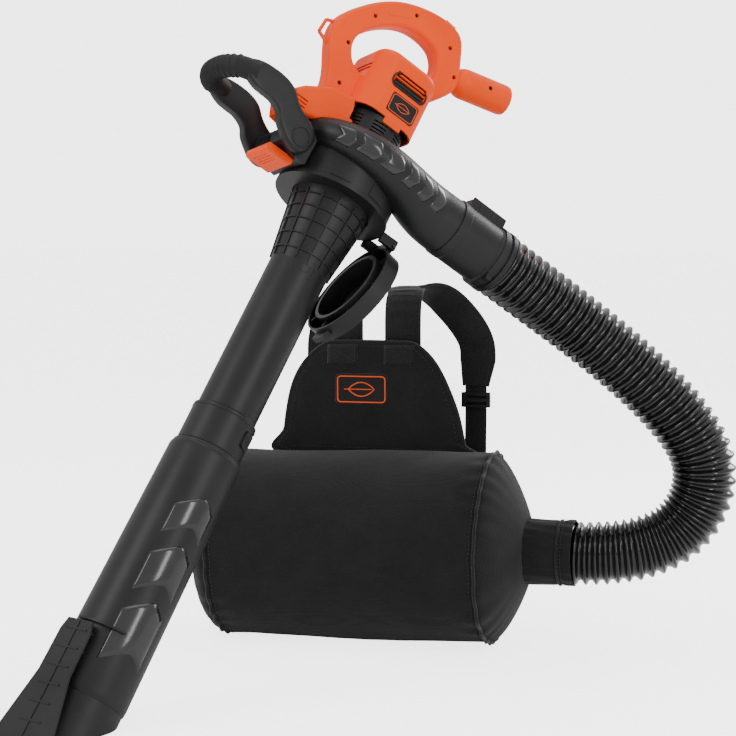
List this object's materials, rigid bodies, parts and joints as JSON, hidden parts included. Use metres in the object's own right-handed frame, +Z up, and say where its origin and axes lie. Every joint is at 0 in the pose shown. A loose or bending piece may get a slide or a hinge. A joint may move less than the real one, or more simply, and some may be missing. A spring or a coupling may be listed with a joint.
{
  "type": "leaf vacuum mulcher",
  "caption": "Hand-held electric leaf vacuum and mulcher with a suction tube, two handles, a corrugated hose and a backpack collection bag.",
  "frame": {"origin": "centre of the rear handle's grip", "axes": "+Z up; X along the bag's barrel, towards the hose end; +Y from the suction nozzle towards the bag"},
  "size_m": [0.9304, 1.0238, 1.0504],
  "materials": {
    "black_plastic": "satin, fine grain",
    "orange_plastic": "satin",
    "rubber": "matte",
    "bag_cloth": "woven matte",
    "webbing": "woven tape",
    "badge": "satin with an orange border",
    "steel": "brushed",
    "copper": "bare copper",
    "brass": "bare",
    "carbon": "matte",
    "cast_aluminium": "as cast",
    "hose_plastic": "glossy corrugated"
  },
  "bodies": {
    "machine": {"adapter_button_pin": "steel", "back_panel": "bag_cloth", "badge_plate": "badge", "bag_body": "bag_cloth", "bag_sleeve": "bag_cloth", "bearing_lower": "steel", "bearing_upper": "steel", "brush_holders": "brass", "buckle_left": "black_plastic", "buckle_right": "black_plastic", "carbon_brushes": "carbon", "cover_feet": "rubber", "cover_hinge_pin": "steel", "fan_collar": "black_plastic", "field_coils": "copper", "grip_inlay": "orange_plastic", "handle_bracket": "black_plastic", "handle_screws": "steel", "handle_shell_far": "orange_plastic", "handle_shell_near": "orange_plastic", "hose": "hose_plastic", "hose_clamp_band": "black_plastic", "hose_cuff": "black_plastic", "inlet_blades": "brass", "lower_tube": "black_plastic", "motor_base": "black_plastic", "motor_cover": "orange_plastic", "motor_frame": "black_plastic", "outlet_adapter": "black_plastic", "panel_badge": "badge", "piping_left": "webbing", "piping_right": "webbing", "power_inlet": "black_plastic", "shoulder_cowl": "orange_plastic", "stator_core": "steel", "strap_eyelet": "orange_plastic", "strap_left": "bag_cloth", "strap_patches": "bag_cloth", "strap_right": "bag_cloth", "switch_module": "black_plastic", "upper_tube": "black_plastic", "volute_lower": "black_plastic", "volute_upper": "black_plastic", "webbing_left": "webbing", "webbing_right": "webbing"},
    "impeller_rotor": {"rotor_shaft": "steel", "armature_core": "steel", "commutator": "copper", "cooling_fan": "black_plastic", "impeller": "cast_aluminium", "shredding_blade": "steel", "impeller_nut": "steel"},
    "front_handle": {"front_handle": "black_plastic", "front_grip_sleeve": "rubber"},
    "handle_lock_lever": {"handle_lock_lever": "orange_plastic"},
    "power_switch": {"power_switch": "black_plastic"},
    "intake_cover": {"intake_cover": "black_plastic"},
    "tube_release_button": {"tube_release_button": "black_plastic"},
    "adapter_release_button": {"adapter_release_button": "black_plastic"}
  },
  "joints": [
    {"name": "impeller_spin", "type": "hinge", "parent": "machine", "child": "impeller_rotor", "pos_m": [-0.04952, -0.0944, -0.16952], "axis": [0.2791, 0.4994, 0.8202], "continuous": true},
    {"name": "front_handle_tilt", "type": "hinge", "parent": "machine", "child": "front_handle", "pos_m": [-0.15628, -0.21712, -0.19989], "axis": [-0.7244, 0.6701, -0.1615], "range_deg": [-20, 25]},
    {"name": "handle_lock_press", "type": "slide", "parent": "machine", "child": "handle_lock_lever", "axis": [0.2791, 0.4994, 0.8202], "range_m": [0, 0.004], "stiffness_N_per_m": 1000, "springref_m": -0.002},
    {"name": "power_switch_slide", "type": "slide", "parent": "machine", "child": "power_switch", "axis": [0.6093, 0.5129, -0.6047], "range_m": [0, 0.0045]},
    {"name": "intake_cover_swing", "type": "hinge", "parent": "machine", "child": "intake_cover", "pos_m": [-0.02247, -0.11081, -0.35894], "axis": [0.7244, -0.6701, 0.1615], "range_deg": [0, 35], "stiffness_Nm_per_rad": 0.35, "springref_deg": -45.84},
    {"name": "tube_release_press", "type": "slide", "parent": "machine", "child": "tube_release_button", "axis": [-0.9589, 0.19, 0.2106], "range_m": [0, 0.0025], "stiffness_N_per_m": 900, "springref_m": -0.002},
    {"name": "adapter_release_press", "type": "hinge", "parent": "machine", "child": "adapter_release_button", "pos_m": [0.11685, -0.02119, -0.30242], "axis": [-0.7244, 0.6701, -0.1615], "range_deg": [0, 6], "stiffness_Nm_per_rad": 0.5, "springref_deg": -11.46}
  ]
}
